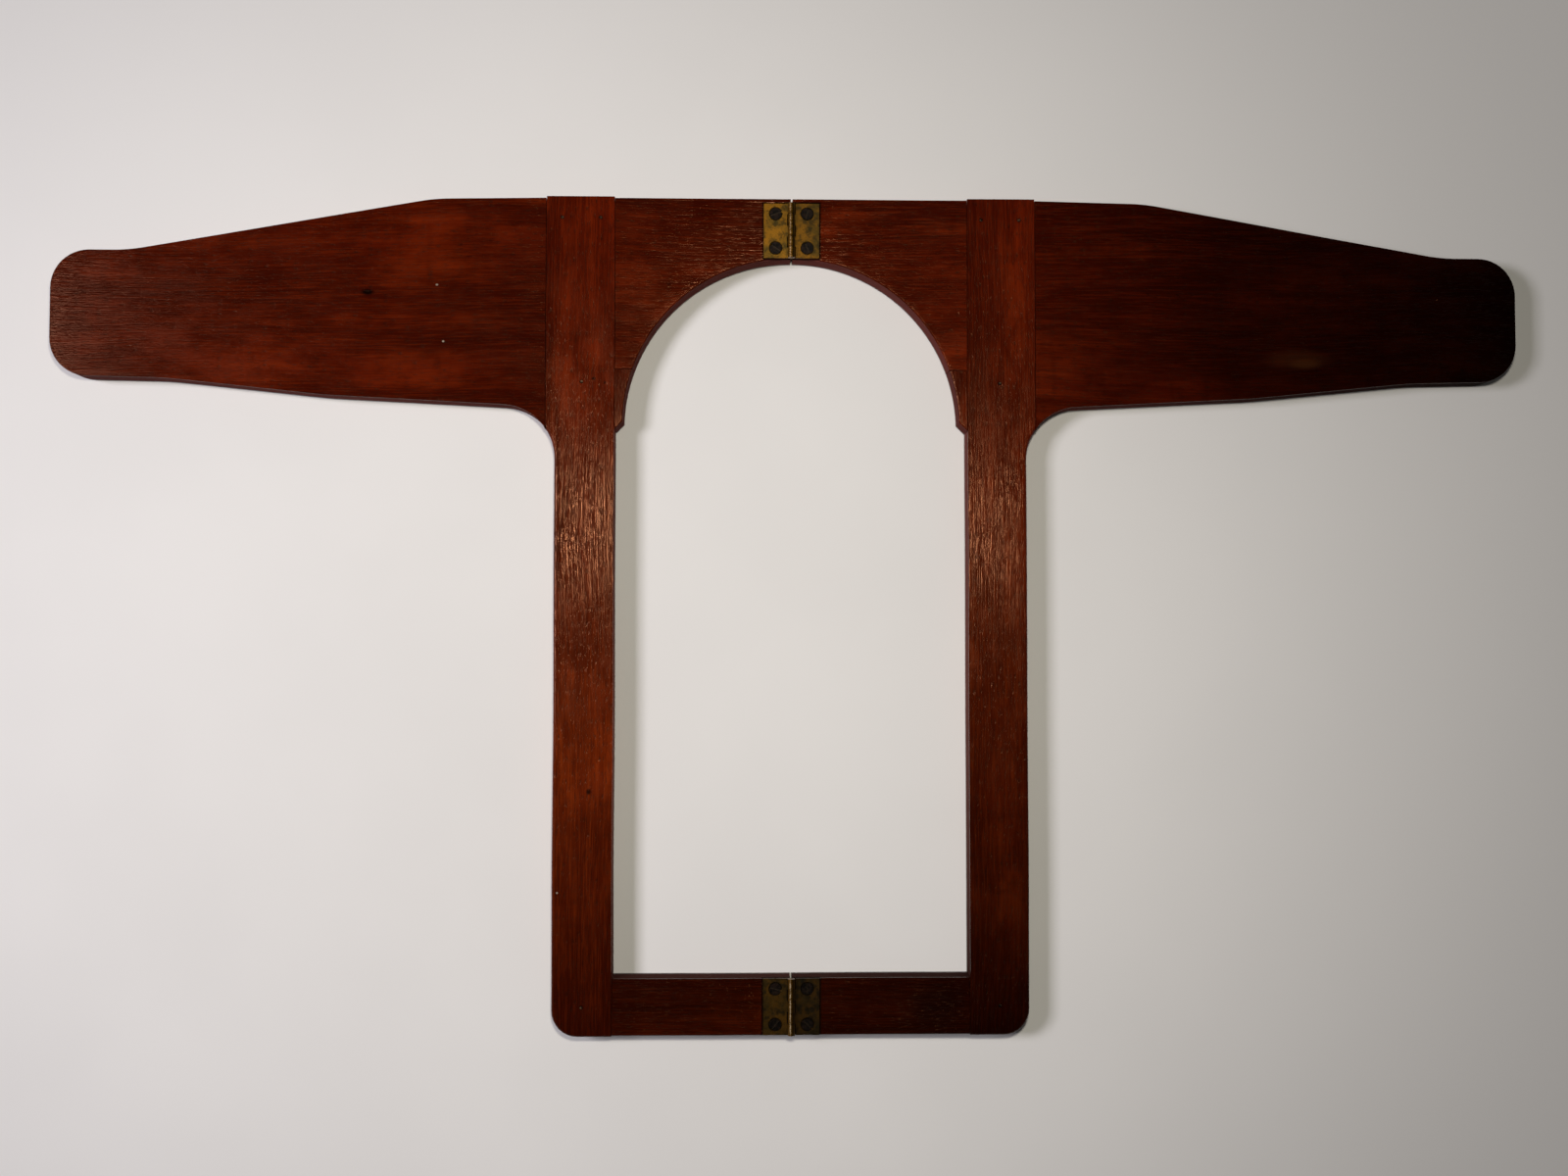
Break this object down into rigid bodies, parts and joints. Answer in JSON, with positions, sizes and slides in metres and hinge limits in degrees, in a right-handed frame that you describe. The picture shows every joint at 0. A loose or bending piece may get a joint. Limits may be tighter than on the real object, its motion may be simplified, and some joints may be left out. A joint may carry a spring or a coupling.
{
  "type": "folding garment form",
  "caption": "Flat vest-shaped garment form with short sleeves, in dark wood, whose two mirrored halves fold together on brass butt hinges.",
  "frame": {"origin": "on the back face, on the centre line, halfway between hem and neck edge", "axes": "+X across the sleeves to the right half, +Y from the hem to the neck edge, +Z out of the front face, where the hinge knuckles stand proud"},
  "size_m": [0.66, 0.3746, 0.0151],
  "materials": {
    "mahogany": "dark red-brown mahogany under old varnish, semi-gloss",
    "brass": "aged brass, dulled, with bright knuckles",
    "dark_steel": "browned steel, dull"
  },
  "bodies": {
    "left_half": {"left_side_post": "mahogany", "left_yoke_board": "mahogany", "left_sleeve_board": "mahogany", "left_bottom_rail": "mahogany", "left_arch_block": "mahogany", "left_yoke_nail": "dark_steel", "left_sleeve_top_nail": "dark_steel", "left_sleeve_foot_nail": "dark_steel", "left_rail_nail": "dark_steel", "top_hinge_left_leaf": "brass", "bottom_hinge_left_leaf": "brass", "top_hinge_left_upper_screw": "dark_steel", "top_hinge_left_lower_screw": "dark_steel", "bottom_hinge_left_upper_screw": "dark_steel", "bottom_hinge_left_lower_screw": "dark_steel", "top_hinge_pin": "brass", "bottom_hinge_pin": "brass"},
    "right_half": {"right_side_post": "mahogany", "right_yoke_board": "mahogany", "right_sleeve_board": "mahogany", "right_bottom_rail": "mahogany", "right_arch_block": "mahogany", "right_yoke_nail": "dark_steel", "right_sleeve_top_nail": "dark_steel", "right_sleeve_foot_nail": "dark_steel", "right_rail_nail": "dark_steel", "top_hinge_right_leaf": "brass", "bottom_hinge_right_leaf": "brass", "top_hinge_right_upper_screw": "dark_steel", "top_hinge_right_lower_screw": "dark_steel", "bottom_hinge_right_upper_screw": "dark_steel", "bottom_hinge_right_lower_screw": "dark_steel"}
  },
  "joints": [
    {"name": "center_fold", "type": "hinge", "parent": "left_half", "child": "right_half", "pos_m": [0, 0, 0.01345], "axis": [0, -1, 0], "range_deg": [0, 180]}
  ]
}
